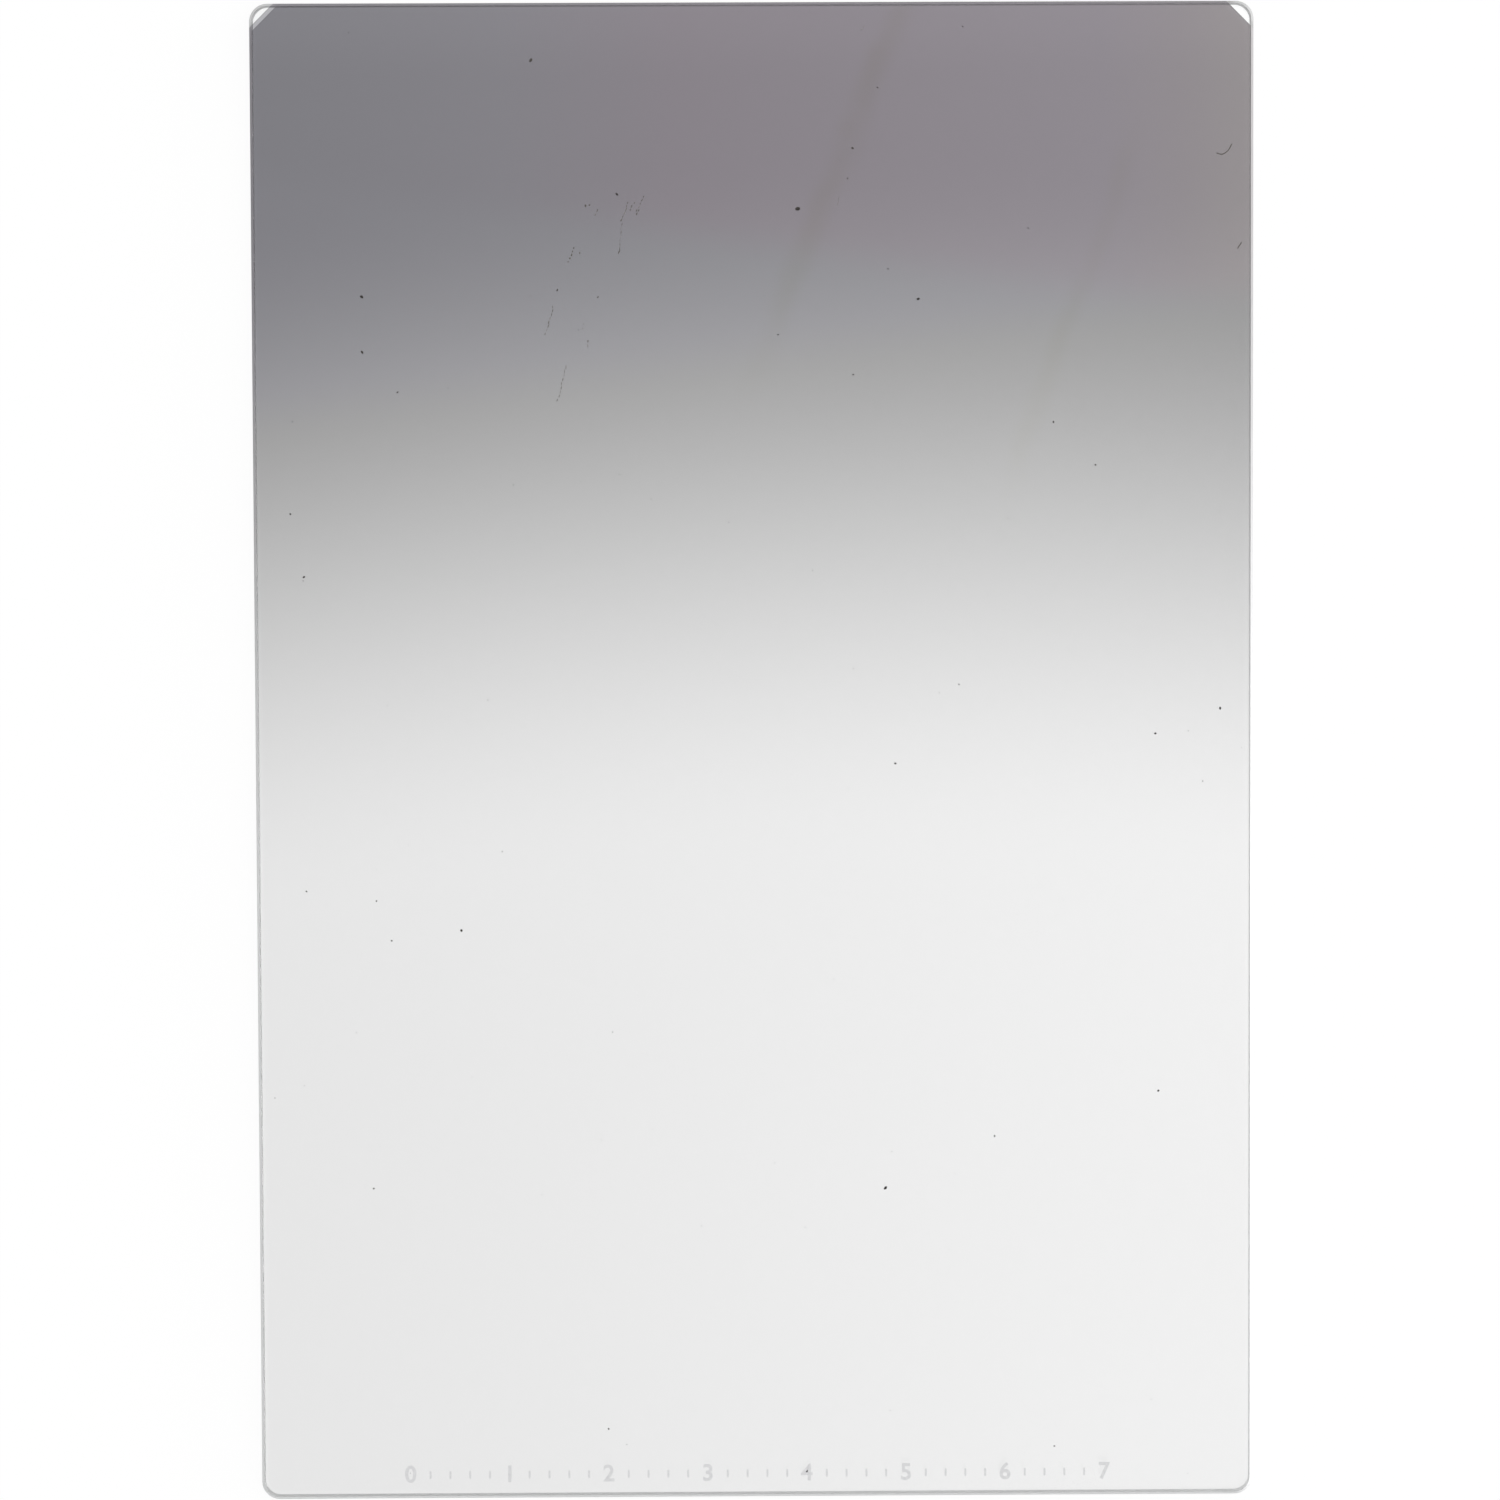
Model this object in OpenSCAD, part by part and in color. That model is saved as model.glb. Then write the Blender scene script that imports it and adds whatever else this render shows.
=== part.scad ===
// Graduated neutral density filter for a slot-in filter holder.
// One pane of optical glass with small rounded corners and a bevel ground round both
// faces. It is coated grey at one end, and the grey fades out towards the other end.
//
// The pane lies on its back face, with that face's middle at the origin. Its width runs
// along X, its length along Y, and the grey end is at +Y.

/* [Pane] */
// Width of the pane, which is the width of the holder that it slides into
pane_width = 100; // [75:5:170]
// Length of the pane, along the fade
pane_length = 150; // [140:5:200]
// Thickness of the glass, which is what the holder's slots take
pane_thickness = 2; // [1:0.1:4]
// Radius of the four corners, seen from the front
corner_radius = 1.8; // [0.6:0.1:8]
// Width of the bevel ground on the rim of each face
bevel = 0.25; // [0.1:0.05:0.45]

/* [Coating] */
// Optical density of the grey end, where 0.6 passes a quarter of the light
grey_density = 0.6; // [0.3:0.1:1.8]
// Optical density that is left at the clear end
clear_density = 0.08; // [0:0.01:0.2]
// Distance from the pane's middle to the start of the fade, towards the grey end
fade_start = 57; // [20:1:60]
// Distance from the pane's middle to the end of the fade, towards the clear end
fade_end = 11; // [0:1:60]
// Leg of the bare triangle that a clip leaves uncoated at each corner of the grey end
bare_leg = 2.8; // [1:0.1:10]
// Length of each step of tone that the fade is drawn in
tone_step = 2; // [1:0.5:6]

/* [Hidden] */

// A rounded corner keeps smooth on the screen at this many sides to the circle
$fn = 96;

// Reach of the pane from its middle, to its sides and to its ends
half_width = pane_width / 2;
half_length = pane_length / 2;
// The corners are turned about these places
corner_x = half_width - corner_radius;
corner_y = half_length - corner_radius;

// The fade is drawn in this many even steps
tone_count = ceil((fade_start + fade_end) / tone_step);
tone_length = (fade_start + fade_end) / tone_count;
// A screen shows light at this root of its strength
screen_gamma = 2.2;
// The grey end passes a little less green than red and blue, a faint purple cast
grey_cast = [1, 0.97, 1.02];
// Uncoated glass
bare_glass = [0.97, 0.98, 0.98];

// How far a clip's outline stands out past the glass on every side
clip_margin = 1;
// The bare corners reach this far under the edge of the coating, so that they join
bare_lap = 0.01;

// The ground edge, at some reach from the middle, from the back face up to the front
function ground_edge(reach) = [
    [reach - bevel, 0],
    [reach, bevel],
    [reach, pane_thickness - bevel],
    [reach - bevel, pane_thickness]
];

// The same edge on the other side of the middle, from the front face down to the back
function far_edge(reach) =
    [for (point = ground_edge(reach)) [-point.x, pane_thickness - point.y]];

// An even S-shaped rise from 0 to 1
function smooth(t) = let (u = min(max(t, 0), 1)) u * u * (3 - 2 * u);

// How far the coating has faded at a place along the length: 0 is grey and 1 is clear
function faded_at(y) = smooth((fade_start - y) / (fade_start + fade_end));

// Share of the light that the pane passes there
function light_at(y) =
    let (grey = pow(10, -grey_density), clear = pow(10, -clear_density))
    grey + (clear - grey) * faded_at(y);

// Colour of the pane there, in which the purple cast fades with the grey
function tone_at(y) =
    let (level = pow(light_at(y), 1 / screen_gamma), cast = 1 - faded_at(y))
    [for (channel = grey_cast) min(level * (1 + (channel - 1) * cast), 1)];

// The full width of the pane, along a stretch of its length
module straight_run(from_y, to_y) {
    color(tone_at((from_y + to_y) / 2))
        translate([0, to_y, 0])
            rotate([90, 0, 0])
                linear_extrude(to_y - from_y)
                    polygon(concat(ground_edge(half_width), far_edge(half_width)));
}

// The last stretch of the pane, past the corners' centres, with both corners turned
module rounded_end() {
    edge = concat([[0, 0]], ground_edge(corner_radius), [[0, pane_thickness]]);
    translate([-corner_x, corner_y, 0])
        rotate([90, 0, 90])
            linear_extrude(2 * corner_x)
                polygon(edge);
    for (side = [0, 1])
        mirror([side, 0])
            translate([corner_x, corner_y, 0])
                rotate_extrude(angle = 90)
                    polygon(edge);
}

// The two corners of the grey end that the clips cover while the glass is coated
module clip_corners(leg) {
    corner = [
        [clip_margin, clip_margin],
        [-leg - clip_margin, clip_margin],
        [clip_margin, -leg - clip_margin]
    ];
    for (side = [0, 1])
        mirror([side, 0])
            translate([half_width, half_length, -clip_margin])
                linear_extrude(pane_thickness + 2 * clip_margin)
                    polygon(corner);
}

// The grey end, from the start of the fade out to the rounded corners
module grey_end() {
    color(tone_at(half_length)) rounded_end();
    straight_run(fade_start, corner_y);
}

// The steps of tone between the grey and the clear
module fade() {
    for (step = [0:tone_count - 1])
        straight_run(
            fade_start - (step + 1) * tone_length,
            fade_start - step * tone_length
        );
}

// The clear end, from the end of the fade out to the rounded corners
module clear_end() {
    straight_run(-corner_y, -fade_end);
    color(tone_at(-half_length))
        mirror([0, 1])
            rounded_end();
}

// The whole filter: one pane of glass in the tones of its coating, bare at the two clips
module filter_plate() {
    difference() {
        union() {
            grey_end();
            fade();
            clear_end();
        }
        clip_corners(bare_leg);
    }
    color(bare_glass)
        intersection() {
            union() {
                rounded_end();
                straight_run(fade_start, corner_y);
            }
            clip_corners(bare_leg + bare_lap);
        }
}

filter_plate();
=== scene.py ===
# A graduated grey filter for a slot-in holder, lying on a white table.
# It is one pane of coated glass with a printed scale, and with the dust and the dried
# streaks that handling has left on it. Lengths are in metres, in the frame of the model.
import math
import random

import bmesh
import bpy
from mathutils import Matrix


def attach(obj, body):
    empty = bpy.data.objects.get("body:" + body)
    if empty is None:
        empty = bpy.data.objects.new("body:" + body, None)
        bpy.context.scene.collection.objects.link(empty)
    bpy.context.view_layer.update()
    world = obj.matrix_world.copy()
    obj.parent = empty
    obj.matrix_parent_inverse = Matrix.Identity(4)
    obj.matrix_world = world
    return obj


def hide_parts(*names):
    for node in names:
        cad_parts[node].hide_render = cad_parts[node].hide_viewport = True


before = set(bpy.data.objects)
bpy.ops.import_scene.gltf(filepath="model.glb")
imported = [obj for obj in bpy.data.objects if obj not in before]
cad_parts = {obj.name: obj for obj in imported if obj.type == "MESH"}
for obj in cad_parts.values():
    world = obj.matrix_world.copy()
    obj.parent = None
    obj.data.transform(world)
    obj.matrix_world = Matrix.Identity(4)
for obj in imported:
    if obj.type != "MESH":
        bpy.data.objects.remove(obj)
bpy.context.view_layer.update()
bpy.ops.object.select_all(action="DESELECT")

mm = 0.001

# The camera
# It looks almost straight down from close above, a little past the middle towards the
# grey end, so the pane's far end comes out slightly narrower than its near end.
camera_place = (-4.0 * mm, 20.3 * mm, 442.6 * mm)
camera_tilt = (-2.57, -0.47, -0.23)
camera_lens = 105.6

bpy.ops.object.camera_add(
    location=camera_place,
    rotation=[math.radians(angle) for angle in camera_tilt],
)
camera = bpy.context.object
camera.name = "camera_above"
camera.data.lens = camera_lens
camera.data.clip_start = 10 * mm
bpy.context.scene.camera = camera
bpy.context.scene.view_settings.view_transform = "Standard"


# The table and the light
# A white table in a white room that is brighter on the right, which the glass reflects. A
# low strip light on the right and a small softbox on the left pick out the edges.
class Finish:
    """A value on its way through a finish. Sums on it add their own Math nodes."""

    def __init__(self, tree, socket=None):
        self.tree = tree
        self.socket = socket

    def node(self, kind, settings=(), values=(), output=0):
        """Adds any node: its settings first, then the values or links of its sockets."""
        made = self.tree.nodes.new(kind)
        for name, setting in dict(settings).items():
            if name == "stops":
                stops = made.color_ramp.elements
                for _ in setting[2:]:
                    stops.new(1)
                for stop, (position, colour) in zip(stops, setting):
                    stop.position = position
                    stop.color = (*colour, 1)
            else:
                setattr(made, name, setting)
        for name, value in dict(values).items():
            if isinstance(value, Finish):
                self.tree.links.new(value.socket, made.inputs[name])
            else:
                made.inputs[name].default_value = value
        return Finish(self.tree, made.outputs[output]) if made.outputs else None

    def sum(self, operation, *terms):
        return self.node("ShaderNodeMath", {"operation": operation}, enumerate(terms))

    def __add__(self, other):
        return self.sum("ADD", self, other)

    def __sub__(self, other):
        return self.sum("SUBTRACT", self, other)

    def __rsub__(self, other):
        return self.sum("SUBTRACT", other, self)

    def __mul__(self, other):
        return self.sum("MULTIPLY", self, other)

    def __abs__(self):
        return self.sum("ABSOLUTE", self)

    __radd__ = __add__
    __rmul__ = __mul__

    def part(self, axis):
        return self.node("ShaderNodeSeparateXYZ", (), {"Vector": self}, axis)

    def rise(self, start, end, low=0.0, high=1.0):
        """From low at start to high at end, in an even S."""
        return self.node(
            "ShaderNodeMapRange",
            {"interpolation_type": "SMOOTHSTEP"},
            {"Value": self, "From Min": start, "From Max": end, "To Min": low, "To Max": high},
        )

    def mix(self, colour, other):
        """This share of the other colour in the first."""
        values = {0: self, 6: colour, 7: other}
        return self.node("ShaderNodeMix", {"data_type": "RGBA"}, values, 2)

    def scaled(self, share):
        """A colour times a number."""
        values = {0: self, "Scale": share}
        return self.node("ShaderNodeVectorMath", {"operation": "SCALE"}, values)


def new_finish(name):
    """A new material, with all of its nodes cleared away."""
    material = bpy.data.materials.new(name)
    material.use_nodes = True
    material.node_tree.nodes.clear()
    return material, Finish(material.node_tree)


table_width = 3.0
table_drop = 0.1 * mm
table_white = (0.95, 0.95, 0.95, 1)
# The table glows by this share for the camera and the glass, and the rest shows shadow
table_glow = 0.95

bpy.ops.mesh.primitive_plane_add(size=table_width, location=(0, 0, -table_drop))
table = bpy.context.object
table.name = "white_table"
table_paint, finish = new_finish("table_paint")
camera_ray = finish.node("ShaderNodeLightPath", output="Is Camera Ray")
mirror_ray = finish.node("ShaderNodeLightPath", output="Is Glossy Ray")
glass_ray = finish.node("ShaderNodeLightPath", output="Is Transmission Ray")
seen = finish.sum("MAXIMUM", finish.sum("MAXIMUM", camera_ray, mirror_ray), glass_ray)
matt = finish.node("ShaderNodeBsdfDiffuse", (), {"Color": table_white})
glow = finish.node("ShaderNodeEmission", (), {"Color": (1, 1, 1, 1)})
surface = finish.node("ShaderNodeMixShader", (), {0: seen * table_glow, 1: matt, 2: glow})
finish.node("ShaderNodeOutputMaterial", (), {"Surface": surface})
table_paint.cycles.emission_sampling = "NONE"
table.data.materials.append(table_paint)

# The room is darker on the left than on the right, and most so straight overhead
walls_dark = 0.45
walls_bright = 1.4
walls_edge = 0.8
overhead_dark = 0.22
overhead_bright = 1.68
overhead_edge = 0.19
# The walls turn into the ceiling between these heights of the direction
ceiling_start = 0.5
ceiling_end = 0.95

room = bpy.data.worlds.new("studio_room")
bpy.context.scene.world = room
room.use_nodes = True
room.node_tree.nodes.clear()
finish = Finish(room.node_tree)
direction = finish.node("ShaderNodeTexCoord", output="Generated")
rightward = direction.part("X")
walls = rightward.rise(-walls_edge, walls_edge, walls_dark, walls_bright)
overhead = rightward.rise(-overhead_edge, overhead_edge, overhead_dark, overhead_bright)
upward = direction.part("Z").rise(ceiling_start, ceiling_end)
around = (1 - upward) * walls + upward * overhead
camera_ray = finish.node("ShaderNodeLightPath", output="Is Camera Ray")
level = camera_ray + (1 - camera_ray) * around
surface = finish.node("ShaderNodeBackground", (), {"Color": (1, 1, 1, 1), "Strength": level})
finish.node("ShaderNodeOutputWorld", (), {"Surface": surface})

# Each lamp has its place, its width and height in metres, and its power in watts
strip_right = ("strip_right", (0.8, 0.05, 0.14), 1.2, 0.2, 6)
softbox_left = ("softbox_left", (-0.7, -0.45, 0.55), 0.35, 0.35, 0.7)

for name, place, width, height, power in (strip_right, softbox_left):
    bpy.ops.object.light_add(type="AREA", location=place)
    lamp = bpy.context.object
    lamp.name = name
    lamp.data.shape = "RECTANGLE"
    lamp.data.size = width
    lamp.data.size_y = height
    lamp.data.energy = power
    aim = lamp.location.to_track_quat("Z", "Y")
    lamp.rotation_euler = aim.to_euler()


# The glass
# One pane of optical glass, cut to size, with its corners rounded and both rims
# bevelled on a grinding wheel. Its faces are polished and its edge is left matt.
pane_width = 100 * mm
pane_length = 150 * mm
pane_thickness = 2 * mm
corner_radius = 1.8 * mm
corner_steps = 24
rim_bevel = 0.25 * mm
# The bevel's own edges are broken by a hair
arris = 0.02 * mm
arris_steps = 2
smooth_under = math.radians(6)


def bevel_edges(piece, chosen, width, steps):
    """Bevels the edges of the piece that pass the test."""
    bpy.ops.object.mode_set(mode="EDIT")
    bpy.ops.mesh.select_mode(type="EDGE")
    bpy.ops.mesh.select_all(action="DESELECT")
    shape = bmesh.from_edit_mesh(piece.data)
    for edge in shape.edges:
        edge.select_set(chosen(edge))
    bmesh.update_edit_mesh(piece.data)
    bpy.ops.mesh.bevel(offset=width, segments=steps, affect="EDGES", clamp_overlap=False)
    bpy.ops.object.mode_set(mode="OBJECT")


def is_upright(edge):
    low, high = sorted(end.co.z for end in edge.verts)
    return high - low > pane_thickness / 2


def is_rim(edge):
    return len({round(end.co.z / mm, 2) for end in edge.verts}) == 1


def is_arris(edge):
    return math.radians(30) < edge.calc_face_angle() < math.radians(60)


bpy.ops.mesh.primitive_cube_add(size=1, location=(0, 0, pane_thickness / 2))
glass = bpy.context.object
glass.name = "filter_glass"
glass.scale = (pane_width, pane_length, pane_thickness)
bpy.ops.object.transform_apply(location=True, rotation=True, scale=True)
bevel_edges(glass, is_upright, corner_radius, corner_steps)
bevel_edges(glass, is_rim, rim_bevel, 1)
bevel_edges(glass, is_arris, arris, arris_steps)
bpy.ops.object.shade_smooth_by_angle(angle=smooth_under)

# The coating
# A grey film, laid in vacuum over both faces and thinned out towards the clear end. Two
# clips held the pane meanwhile, so it is bare across two corners.
fade_start = 60.2 * mm
fade_end = -10.5 * mm
# The fade is an arc, lowest at the sides: metres per square metre from its middle
fade_arc = 1.45
arc_middle = 12 * mm
clear_light = (0.848, 0.848, 0.848, 1)
# The film's grey is bluish on the left, purple in the middle and warmer on the right
grey_across = (
    (0.04, (0.215, 0.212, 0.232)),
    (0.25, (0.219, 0.212, 0.234)),
    (0.42, (0.227, 0.205, 0.231)),
    (0.85, (0.228, 0.206, 0.233)),
    (0.93, (0.236, 0.213, 0.230)),
    (1.00, (0.252, 0.231, 0.237)),
)
# Down the fade it turns bluish, later on the right, and then neutral, later on the left
bluish_grey = (0.223, 0.220, 0.241, 1)
neutral_grey = (0.223, 0.222, 0.223, 1)
purple_end = 48.5 * mm
purple_start = 54 * mm
purple_lean = 0.14
blue_end = 37 * mm
blue_start = 43 * mm
blue_lean = 0.12
bare_light = (0.99, 0.995, 0.993, 1)
# The clips reach a little further in on one face than on the other, and less on the right
front_leg = 2.59 * mm
front_leg_gain = 0.36
back_leg = 2.58 * mm
back_leg_gain = -0.26
film_edge = 0.03 * mm
# The film is thicker in a fine ridge along each clip's edge
ridge_width = 0.15 * mm
ridge_loss = 0.35
# The film thins out a little along the rim, and more along the grey end
margin_start = 0.8 * mm
margin_end = 0.45 * mm
margin_gain = 0.025
end_margin = 8 * mm
end_gain = 0.08


def film(finish):
    """The film's place on the pane, how far it has faded, where it is bare, and its tint."""
    place = finish.node("ShaderNodeTexCoord", output="Object")
    across = place.part("X")
    along = place.part("Y")
    off_middle = across - arc_middle
    faded = (along + off_middle * off_middle * fade_arc).rise(fade_start, fade_end)
    on_front = finish.sum("GREATER_THAN", place.part("Z"), pane_thickness / 2)
    front = front_leg + across * (front_leg_gain * mm / pane_width)
    back = back_leg + across * (back_leg_gain * mm / pane_width)
    leg = on_front * front + (1 - on_front) * back
    past_clip = abs(across) + along + leg - (pane_width + pane_length) / 2
    bare = past_clip.rise(-film_edge, film_edge)
    ramp = {"stops": grey_across}
    spread = across * (1 / pane_width) + 0.5
    cast = finish.node("ShaderNodeValToRGB", ramp, {"Fac": spread}, "Color")
    purple = (along + across * purple_lean).rise(purple_end, purple_start)
    blue = (along - across * blue_lean).rise(blue_end, blue_start)
    grey = blue.mix(neutral_grey, purple.mix(bluish_grey, cast))
    return place, across, along, faded, past_clip, bare, grey


coated_glass, finish = new_finish("coated_glass")
place, across, along, faded, past_clip, bare, grey = film(finish)
ridge = past_clip.rise(-ridge_width, -film_edge, 1, 1 - ridge_loss)
off_side = abs(across) - pane_width / 2
off_end = abs(along) - pane_length / 2
off_rim = finish.sum("MAXIMUM", off_side, off_end)
margin = off_rim.rise(-margin_start, -margin_end)
far_end = along.rise(pane_length / 2 - end_margin, pane_length / 2)
thinning = 1 + margin * margin_gain + far_end * end_gain
film_tint = faded.mix(grey, clear_light).scaled(thinning * ridge)
tint = bare.mix(film_tint, bare_light)

# The smears
# A cloth has drawn greasy smears over the glass: a long brownish one down from the grey
# end, and a fainter one beside it. They waver, come and go, and dull the polish a little.
# Each has its middle, its lean to the right in degrees, its length and its width, in mm
long_smear = ((9.4, 61), 21.5, 60, 4.2)
side_smear = ((31.7, 43.5), 19.5, 46, 3.4)
side_share = 0.8
smear_tint = (0.945, 0.942, 0.898)
smear_dulling = 0.05
# They grow from this share of their strength, at the first place, to all of it
smear_share = 0.3
smear_pale = 25 * mm
smear_full = 58 * mm
# The noise that they waver by, how far it pushes them, and the share of them in its gaps
waver_scale = 130
waver = 3 * mm
gap_low = 0.35
gap_high = 0.6
gap_share = 0.5
polish = 0.03
glass_ior = 1.52


def smear(finish, place, push, middle, lean, length, width):
    """A wavering stroke with soft sides: 1 along its middle and 0 off it."""
    turned = finish.node(
        "ShaderNodeMapping",
        {"vector_type": "TEXTURE"},
        {
            "Vector": place,
            "Location": (middle[0] * mm, middle[1] * mm, 0),
            "Rotation": (0, 0, -math.radians(lean)),
        },
    )
    near_line = abs(turned.part("X") + push).rise(width * mm / 2, 0)
    near_middle = abs(turned.part("Y")).rise(length * mm / 2, length * mm / 4)
    return near_line * near_middle


noise = finish.node("ShaderNodeTexNoise", (), {"Vector": place, "Scale": waver_scale}, "Fac")
push = noise * waver - waver / 2
smears = smear(finish, place, push, *long_smear)
smears = smears + smear(finish, place, push, *side_smear) * side_share
smears = smears * along.rise(smear_pale, smear_full, smear_share, 1)
smears = smears * noise.rise(gap_low, gap_high, gap_share, 1)
stained = {0: tint, 1: smear_tint}
stained = finish.node("ShaderNodeVectorMath", {"operation": "MULTIPLY"}, stained)
tint = smears.mix(tint, stained)
surface = finish.node(
    "ShaderNodeBsdfPrincipled",
    (),
    {
        "Base Color": tint,
        "Roughness": smears * smear_dulling + polish,
        "IOR": glass_ior,
        "Transmission Weight": 1.0,
    },
)
finish.node("ShaderNodeOutputMaterial", (), {"Surface": surface})

# The ground edge
# The wheel leaves it matt and frosted. Some of the film reaches round it, so it is
# darker at the grey end, but not across the two bare corners. Its colour is lighter
# along the right rim: painted light, for the light from the right that falls on that rim.
edge_grey = (0.23, 0.22, 0.24, 1)
edge_clear = (0.58, 0.59, 0.59, 1)
corner_clear = (0.47, 0.475, 0.475, 1)
# Painted light: the lighter greys of the edge along the right rim, over this width
right_painted_light_grey = (0.55, 0.54, 0.55, 1)
right_painted_light_clear = (0.92, 0.93, 0.93, 1)
painted_light_strip = 2 * mm
edge_through = 0.7
grind_scale = 9000
grind_depth = 0.15
grind_smooth = 0.35
grind_rough = 0.2
face_slope = 0.999

ground_glass, finish = new_finish("ground_glass")
place, across, _, faded, _, bare, _ = film(finish)
# Painted light: the edge's colour turns lighter towards the right rim
painted_light_share = across.rise(pane_width / 2 - painted_light_strip, pane_width / 2)
on_film_with_painted_light = painted_light_share.mix(edge_grey, right_painted_light_grey)
off_film_with_painted_light = painted_light_share.mix(edge_clear, right_painted_light_clear)
edge_tint = bare.mix(faded.mix(on_film_with_painted_light, off_film_with_painted_light), corner_clear)
grain = finish.node("ShaderNodeTexNoise", (), {"Vector": place, "Scale": grind_scale}, "Fac")
surface = finish.node(
    "ShaderNodeBsdfPrincipled",
    (),
    {
        "Base Color": edge_tint.scaled(1 - grind_depth / 2 + grain * grind_depth),
        "Roughness": grind_smooth + grain * grind_rough,
        "IOR": glass_ior,
        "Transmission Weight": edge_through,
    },
)
finish.node("ShaderNodeOutputMaterial", (), {"Surface": surface})

glass.data.materials.append(coated_glass)
glass.data.materials.append(ground_glass)
for face in glass.data.polygons:
    face.material_index = 0 if abs(face.normal.z) > face_slope else 1
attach(glass, "root")
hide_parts("filter_plate")

# The scale
# A plain centimetre scale in pale grey ink, screen-printed along the clear end, by which
# the pane is set in its holder.
scale_line = -72.6 * mm
figure_height = 1.7 * mm
# A figure is this share of the size of its type
figure_share = 0.72
figure_size = figure_height / figure_share
figure_weight = 0.05 * mm
figure_count = 8
figure_pitch = 10 * mm
ticks_between = 4
tick_width = 0.2 * mm
tick_height = 0.8 * mm
tick_corner = 0.09 * mm
tick_steps = 3
ink_thickness = 0.01 * mm
ink_middle = pane_thickness + ink_thickness / 2
ink_grey = (0.57, 0.57, 0.58, 1)
ink_pale = (0.63, 0.63, 0.635, 1)
ink_grain = 4000
ink_low = 0.3
ink_high = 0.7
ink_smooth = 0.55
ink_rough = 0.2


def is_ink_corner(edge):
    low, high = sorted(end.co.z for end in edge.verts)
    return high - low > ink_thickness / 2


def joined(parts, name):
    """The parts as one piece, with their places in its mesh."""
    bpy.ops.object.select_all(action="DESELECT")
    for part in parts:
        part.select_set(True)
    bpy.context.view_layer.objects.active = parts[0]
    bpy.ops.object.transform_apply(location=True, rotation=True, scale=True)
    bpy.ops.object.join()
    parts[0].name = name
    return parts[0]


scale_parts = []
first_figure = -figure_pitch * (figure_count - 1) / 2
for number in range(figure_count):
    figure_x = first_figure + number * figure_pitch
    bpy.ops.object.text_add(location=(figure_x, scale_line, ink_middle))
    figure = bpy.context.object
    figure.data.body = str(number)
    figure.data.size = figure_size
    figure.data.extrude = ink_thickness / 2
    figure.data.offset = figure_weight
    figure.data.align_x = "CENTER"
    figure.data.align_y = "CENTER"
    bpy.ops.object.convert(target="MESH")
    bpy.ops.object.transform_apply(location=True, rotation=True, scale=True)
    scale_parts.append(bpy.context.object)

bpy.ops.mesh.primitive_cube_add(size=1, location=(0, scale_line, ink_middle))
tick = bpy.context.object
tick.scale = (tick_width, tick_height, ink_thickness)
bpy.ops.object.transform_apply(location=True, rotation=True, scale=True)
bevel_edges(tick, is_ink_corner, tick_corner, tick_steps)
for number in range(figure_count - 1):
    for step in range(1, ticks_between + 1):
        copied = tick.copy()
        copied.data = tick.data.copy()
        bpy.context.collection.objects.link(copied)
        copied.location.x = first_figure + (number + step / (ticks_between + 1)) * figure_pitch
        scale_parts.append(copied)
bpy.data.objects.remove(tick)
position_scale = joined(scale_parts, "position_scale")
position_scale.data.materials.clear()

scale_ink, finish = new_finish("scale_ink")
place = finish.node("ShaderNodeTexCoord", output="Object")
coverage = finish.node("ShaderNodeTexNoise", (), {"Vector": place, "Scale": ink_grain}, "Fac")
ink_tint = coverage.rise(ink_low, ink_high).mix(ink_grey, ink_pale)
surface = finish.node(
    "ShaderNodeBsdfPrincipled",
    (),
    {"Base Color": ink_tint, "Roughness": ink_smooth + coverage * ink_rough},
)
finish.node("ShaderNodeOutputMaterial", (), {"Surface": surface})
position_scale.data.materials.append(scale_ink)
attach(position_scale, "root")

# The dust
# Grains of dark grit, and crumbs of skin and cloth, that have settled on the front face
# and cling to it. The larger ones lie in their own places, and the finest all over.
# Each of the larger ones has its place and its width, in millimetres
grains = {
    "by_long_smear": (4.5, 54.5, 0.52),
    "upper_left": (-22, 69.3, 0.44),
    "lower_right": (13, -43.7, 0.42),
    "right_side": (46.7, 4.5, 0.32),
    "left_pair_low": (-39, 40.4, 0.38),
    "left_pair_high": (-39, 45.9, 0.38),
    "by_right_run": (-13.5, 56, 0.36),
    "left_side": (-45, 18, 0.3),
    "right_inner": (40.2, 2, 0.26),
    "middle_left": (-29.5, -17.5, 0.29),
    "near_smear_top": (16.5, 45.5, 0.36),
    "above_grit": (10, 60.5, 0.28),
    "far_right_low": (40.5, -34, 0.26),
    "low_left": (-38.5, -43.5, 0.22),
    "by_left_run": (-19.5, 46.5, 0.26),
    "in_middle_smear": (30, 33.2, 0.24),
    "lower_middle": (24, -38.5, 0.22),
    "left_third": (-35.5, 36.4, 0.24),
    "left_low": (-45, -13.5, 0.22),
    "centre": (14.1, -0.9, 0.25),
    "left_inner": (-36.5, -18.5, 0.19),
    "left_centre": (-38, -14.5, 0.18),
    "clear_end": (-15, -68, 0.2),
    "right_of_centre": (20.5, 7, 0.19),
    "under_middle_smear": (34.2, 28.9, 0.2),
    "left_rim": (-46.3, 24.3, 0.2),
    "right_clear_end": (30, -70, 0.21),
    "above_middle_smear": (27.5, 52.5, 0.18),
    "over_smear": (12.5, 66.5, 0.18),
    "far_end": (21, 72.5, 0.18),
    "between_smears": (13.5, 48.5, 0.18),
    "smear_foot": (2.5, 42, 0.18),
    "low_between": (10, 38, 0.18),
    "beside_grit": (9.5, 57.5, 0.17),
}
# No grain is higher than this, nor than this share of its width, and part of it sinks in
grain_height = 0.04 * mm
grain_share = 0.6
grain_middle = 0.4
# A grain is as long as a share of its width between these two
grain_lengths = (0.5, 0.9)
grain_radius = 0.5 * mm
grain_bumps = 0.12 * mm
grain_seed = 4
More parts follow.
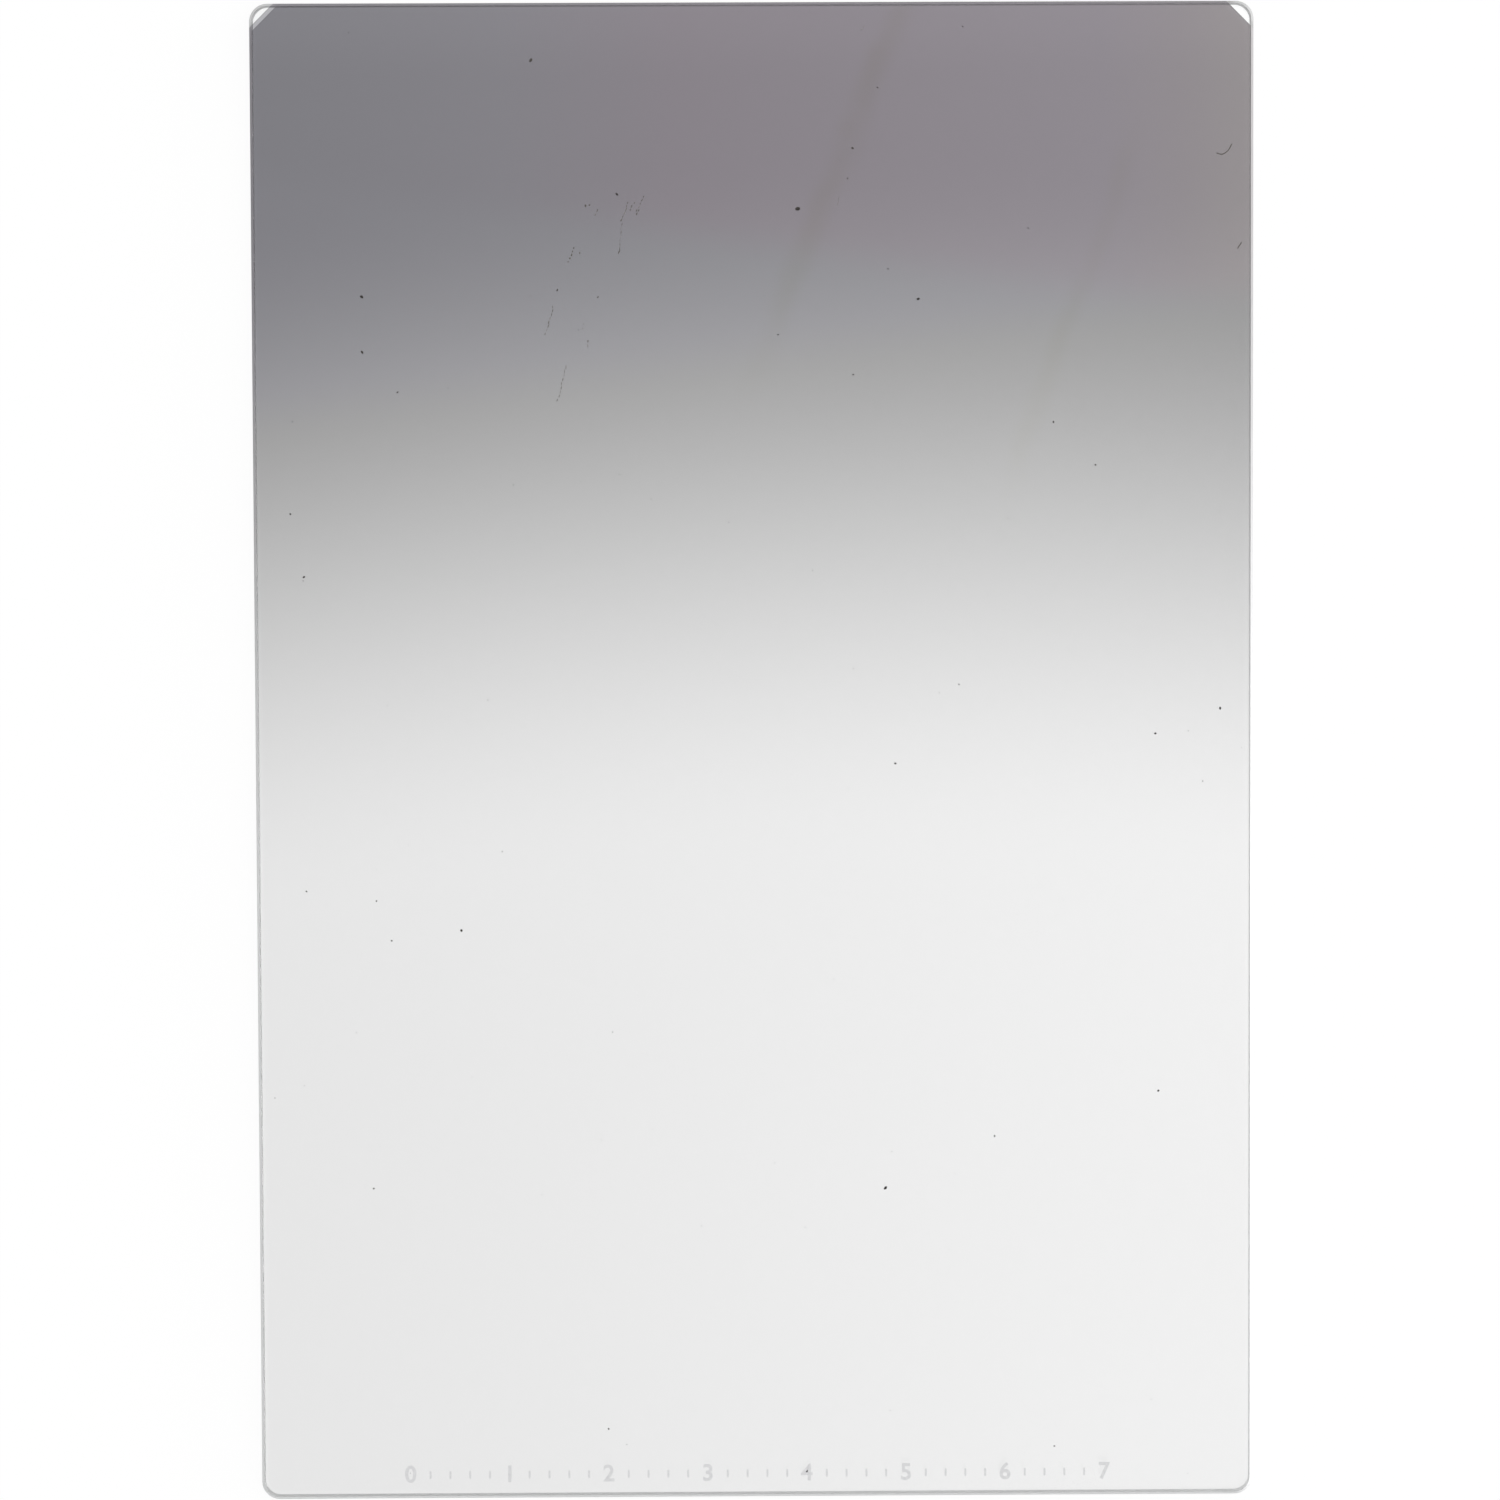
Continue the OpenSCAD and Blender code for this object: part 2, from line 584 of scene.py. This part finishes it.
# The finest grains keep this far from the edges of the pane, in millimetres
fine_count = 70
fine_widths = (0.06, 0.13)
fine_seed = 12
fine_inset = 1
dust_dark = (0.020, 0.017, 0.015, 1)
dust_pale = (0.06, 0.054, 0.048, 1)
dust_kinds = 900
dust_low = 0.45
dust_high = 0.7
dust_smooth = 0.8
dust_rough = 0.2

dust = random.Random(fine_seed)
places = list(grains.values())
fine_reach = (pane_width / mm / 2 - fine_inset, pane_length / mm / 2 - fine_inset)
for _ in range(fine_count):
    spot = [dust.uniform(-side, side) for side in fine_reach]
    places.append((*spot, dust.uniform(*fine_widths)))
bpy.ops.mesh.primitive_ico_sphere_add(subdivisions=2, radius=grain_radius)
grain = bpy.context.object
bpy.ops.object.mode_set(mode="EDIT")
bpy.ops.mesh.select_all(action="SELECT")
bpy.ops.transform.vertex_random(offset=grain_bumps, seed=grain_seed)
bpy.ops.object.mode_set(mode="OBJECT")


def crumb(middle, lean, length, width):
    """A copy of the grain, in millimetres, laid on the glass with its length leaning."""
    copied = grain.copy()
    copied.data = grain.data.copy()
    bpy.context.collection.objects.link(copied)
    height = min(grain_height / mm, grain_share * width)
    level = pane_thickness + height * grain_middle * mm
    copied.scale = (width, length, height)
    copied.rotation_euler.z = -math.radians(lean)
    copied.location = (middle[0] * mm, middle[1] * mm, level)
    return copied


crumbs = []
for across_mm, along_mm, width in places:
    lean = dust.uniform(0, 180)
    length = width * dust.uniform(*grain_lengths)
    crumbs.append(crumb((across_mm, along_mm), lean, length, width))
dust_grains = joined(crumbs, "dust_grains")

dust_grit, finish = new_finish("dust_grit")
place = finish.node("ShaderNodeTexCoord", output="Object")
kinds = finish.node("ShaderNodeTexNoise", (), {"Vector": place, "Scale": dust_kinds}, "Fac")
surface = finish.node(
    "ShaderNodeBsdfPrincipled",
    (),
    {
        "Base Color": kinds.rise(dust_low, dust_high).mix(dust_dark, dust_pale),
        "Roughness": dust_smooth + kinds * dust_rough,
    },
)
finish.node("ShaderNodeOutputMaterial", (), {"Surface": surface})
dust_grains.data.materials.append(dust_grit)
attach(dust_grains, "root")

# The dried streaks
# Drops of water have run down the glass near its middle and dried. They have left thin
# crusts of brownish lime, broken into short lengths.
# Each run has its middle, its lean to the right in degrees, its length and its width, in mm
runs = {
    "dark_run": ((-18.1, 50), 26, 1.9, 0.22),
    "left_run": ((-20.3, 43.5), 16, 3.2, 0.14),
    "low_run": ((-19.1, 37.2), 14, 3.8, 0.11),
    "right_run": ((-12.7, 54.3), 21, 2.2, 0.14),
    "right_tail": ((-13.2, 51.8), 6, 3.6, 0.1),
    "tail_spot": ((-13.3, 50.3), 20, 0.5, 0.16),
    "far_right_run": ((-11.2, 54.9), 23, 2.2, 0.15),
    "far_right_spot": ((-11.6, 54.4), 20, 0.4, 0.18),
    "between_runs": ((-12, 54.8), 29, 1.2, 0.15),
    "top_run": ((-15.6, 54.2), 20, 0.8, 0.18),
    "top_spots": ((-16.4, 54.9), 80, 0.8, 0.3),
    "upper_spot": ((-17.3, 50.2), 0, 0.3, 0.2),
    "inner_run": ((-16.9, 42.9), 0, 0.9, 0.12),
    "inner_tail": ((-16.5, 41.2), 14, 0.9, 0.14),
    "side_spot": ((-15.5, 45.8), 40, 0.6, 0.24),
    "smear_dash": ((8.6, 55.3), 10, 0.9, 0.14),
    "end_tick": ((11.1, 72.4), 35, 0.7, 0.12),
}
# A run breaks into crusts about this long, each a share of its length and of its width
crust_length = 0.4
crust_lengths = (0.3, 1)
crust_widths = (0.5, 1)
crust_sway = 0.07
crust_turn = 12
crust_dark = (0.075, 0.07, 0.063, 1)
crust_pale = (0.18, 0.17, 0.16, 1)
crust_patches = 1500
crust_low = 0.4
crust_high = 0.65
crust_smooth = 0.6
crust_rough = 0.3

crusts = []
for (middle_x, middle_y), lean, length, width in runs.values():
    count = max(1, round(length / crust_length))
    for number in range(count):
        reach = ((number + 0.5) / count - 0.5) * length
        sway = dust.uniform(-crust_sway, crust_sway)
        spot_x = middle_x + reach * math.sin(math.radians(lean)) + sway
        spot_y = middle_y + reach * math.cos(math.radians(lean))
        turn = lean + dust.uniform(-crust_turn, crust_turn)
        long = length / count * dust.uniform(*crust_lengths)
        wide = width * dust.uniform(*crust_widths)
        crusts.append(crumb((spot_x, spot_y), turn, long, wide))
dried_streaks = joined(crusts, "dried_streaks")
bpy.data.objects.remove(grain)

dried_lime, finish = new_finish("dried_lime")
place = finish.node("ShaderNodeTexCoord", output="Object")
patches = finish.node(
    "ShaderNodeTexNoise", (), {"Vector": place, "Scale": crust_patches}, "Fac"
)
surface = finish.node(
    "ShaderNodeBsdfPrincipled",
    (),
    {
        "Base Color": patches.rise(crust_low, crust_high).mix(crust_dark, crust_pale),
        "Roughness": crust_smooth + patches * crust_rough,
    },
)
finish.node("ShaderNodeOutputMaterial", (), {"Surface": surface})
dried_streaks.data.materials.append(dried_lime)
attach(dried_streaks, "root")

# The lint
# One short curled fibre of dark cloth near the right rim, and a shorter straight end
# beside it, that static holds down on the glass.
# The points that each fibre runs by, across and along the pane in millimetres
curled_fibre = (
    (46.3, 59.9),
    (46.6, 59.8),
    (46.9, 59.75),
    (47.4, 60.05),
    (47.7, 60.5),
    (47.8, 60.8),
)
straight_fibre = ((48.4, 50.4), (48.6, 50.7), (48.8, 51.0))
fibre_width = 0.11 * mm
fibre_flatness = 0.45
fibre_smooth_under = math.radians(60)
fibre_brown = (0.055, 0.048, 0.042, 1)
fibre_grey = (0.12, 0.11, 0.10, 1)
fibre_strands = 7000
fibre_smooth = 0.7
fibre_rough = 0.2

fibres = []
for points in (curled_fibre, straight_fibre):
    path = bpy.data.curves.new("fibre_path", "CURVE")
    path.dimensions = "3D"
    path.bevel_depth = fibre_width / 2
    path.bevel_resolution = 3
    path.use_fill_caps = True
    run = path.splines.new("NURBS")
    run.points.add(len(points) - 1)
    run.use_endpoint_u = True
    run.order_u = 3
    for point, (across_mm, along_mm) in zip(run.points, points):
        point.co = (across_mm * mm, along_mm * mm, 0, 1)
    fibre = bpy.data.objects.new("fibre", path)
    bpy.context.collection.objects.link(fibre)
    bpy.ops.object.select_all(action="DESELECT")
    fibre.select_set(True)
    bpy.context.view_layer.objects.active = fibre
    bpy.ops.object.convert(target="MESH")
    fibre = bpy.context.object
    fibre.scale.z = fibre_flatness
    fibre.location.z = pane_thickness + fibre_width / 2 * fibre_flatness
    fibres.append(fibre)
lint_fibre = joined(fibres, "lint_fibre")
bpy.ops.object.shade_smooth_by_angle(angle=fibre_smooth_under)

lint_cloth, finish = new_finish("lint_cloth")
place = finish.node("ShaderNodeTexCoord", output="Object")
strands = finish.node(
    "ShaderNodeTexNoise", (), {"Vector": place, "Scale": fibre_strands}, "Fac"
)
surface = finish.node(
    "ShaderNodeBsdfPrincipled",
    (),
    {
        "Base Color": strands.mix(fibre_brown, fibre_grey),
        "Roughness": fibre_smooth + strands * fibre_rough,
    },
)
finish.node("ShaderNodeOutputMaterial", (), {"Surface": surface})
lint_fibre.data.materials.append(lint_cloth)
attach(lint_fibre, "root")
